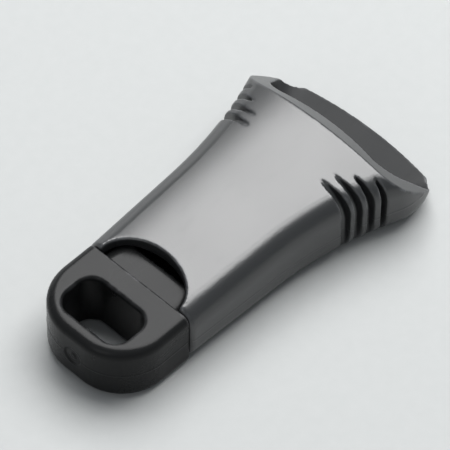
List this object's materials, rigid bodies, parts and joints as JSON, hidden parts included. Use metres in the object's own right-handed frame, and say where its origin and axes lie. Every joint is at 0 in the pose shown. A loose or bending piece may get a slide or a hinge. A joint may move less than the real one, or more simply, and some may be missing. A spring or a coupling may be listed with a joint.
{
  "type": "cord lock",
  "caption": "Black plastic pull-release cord lock: flared sleeve with grip grooves sliding on a sprung inner body with cord slot and webbing window.",
  "frame": {"origin": "middle of the base of the whole lock, on the sleeve's flat back", "axes": "+X along the lock from the anchor end to the pull mouth, +Z out of the front face"},
  "size_m": [0.0381, 0.0194, 0.0086],
  "materials": {
    "sleeve_plastic": "black acetal with a fine satin texture",
    "body_plastic": "black acetal, slightly smoother than the sleeve",
    "keeper_plastic": "black acetal, as moulded",
    "spring_steel": "bright drawn spring wire"
  },
  "bodies": {
    "inner": {"inner_body": "body_plastic", "spring_keeper": "keeper_plastic", "return_spring": "spring_steel"},
    "sleeve": {"outer_sleeve": "sleeve_plastic", "pull_bar": "keeper_plastic"}
  },
  "joints": [
    {"name": "sleeve_slide", "type": "slide", "parent": "inner", "child": "sleeve", "axis": [1, 0, 0], "range_m": [0, 0.0035], "stiffness_N_per_m": 1100, "springref_m": -0.004, "deforming": ["return_spring"]}
  ]
}
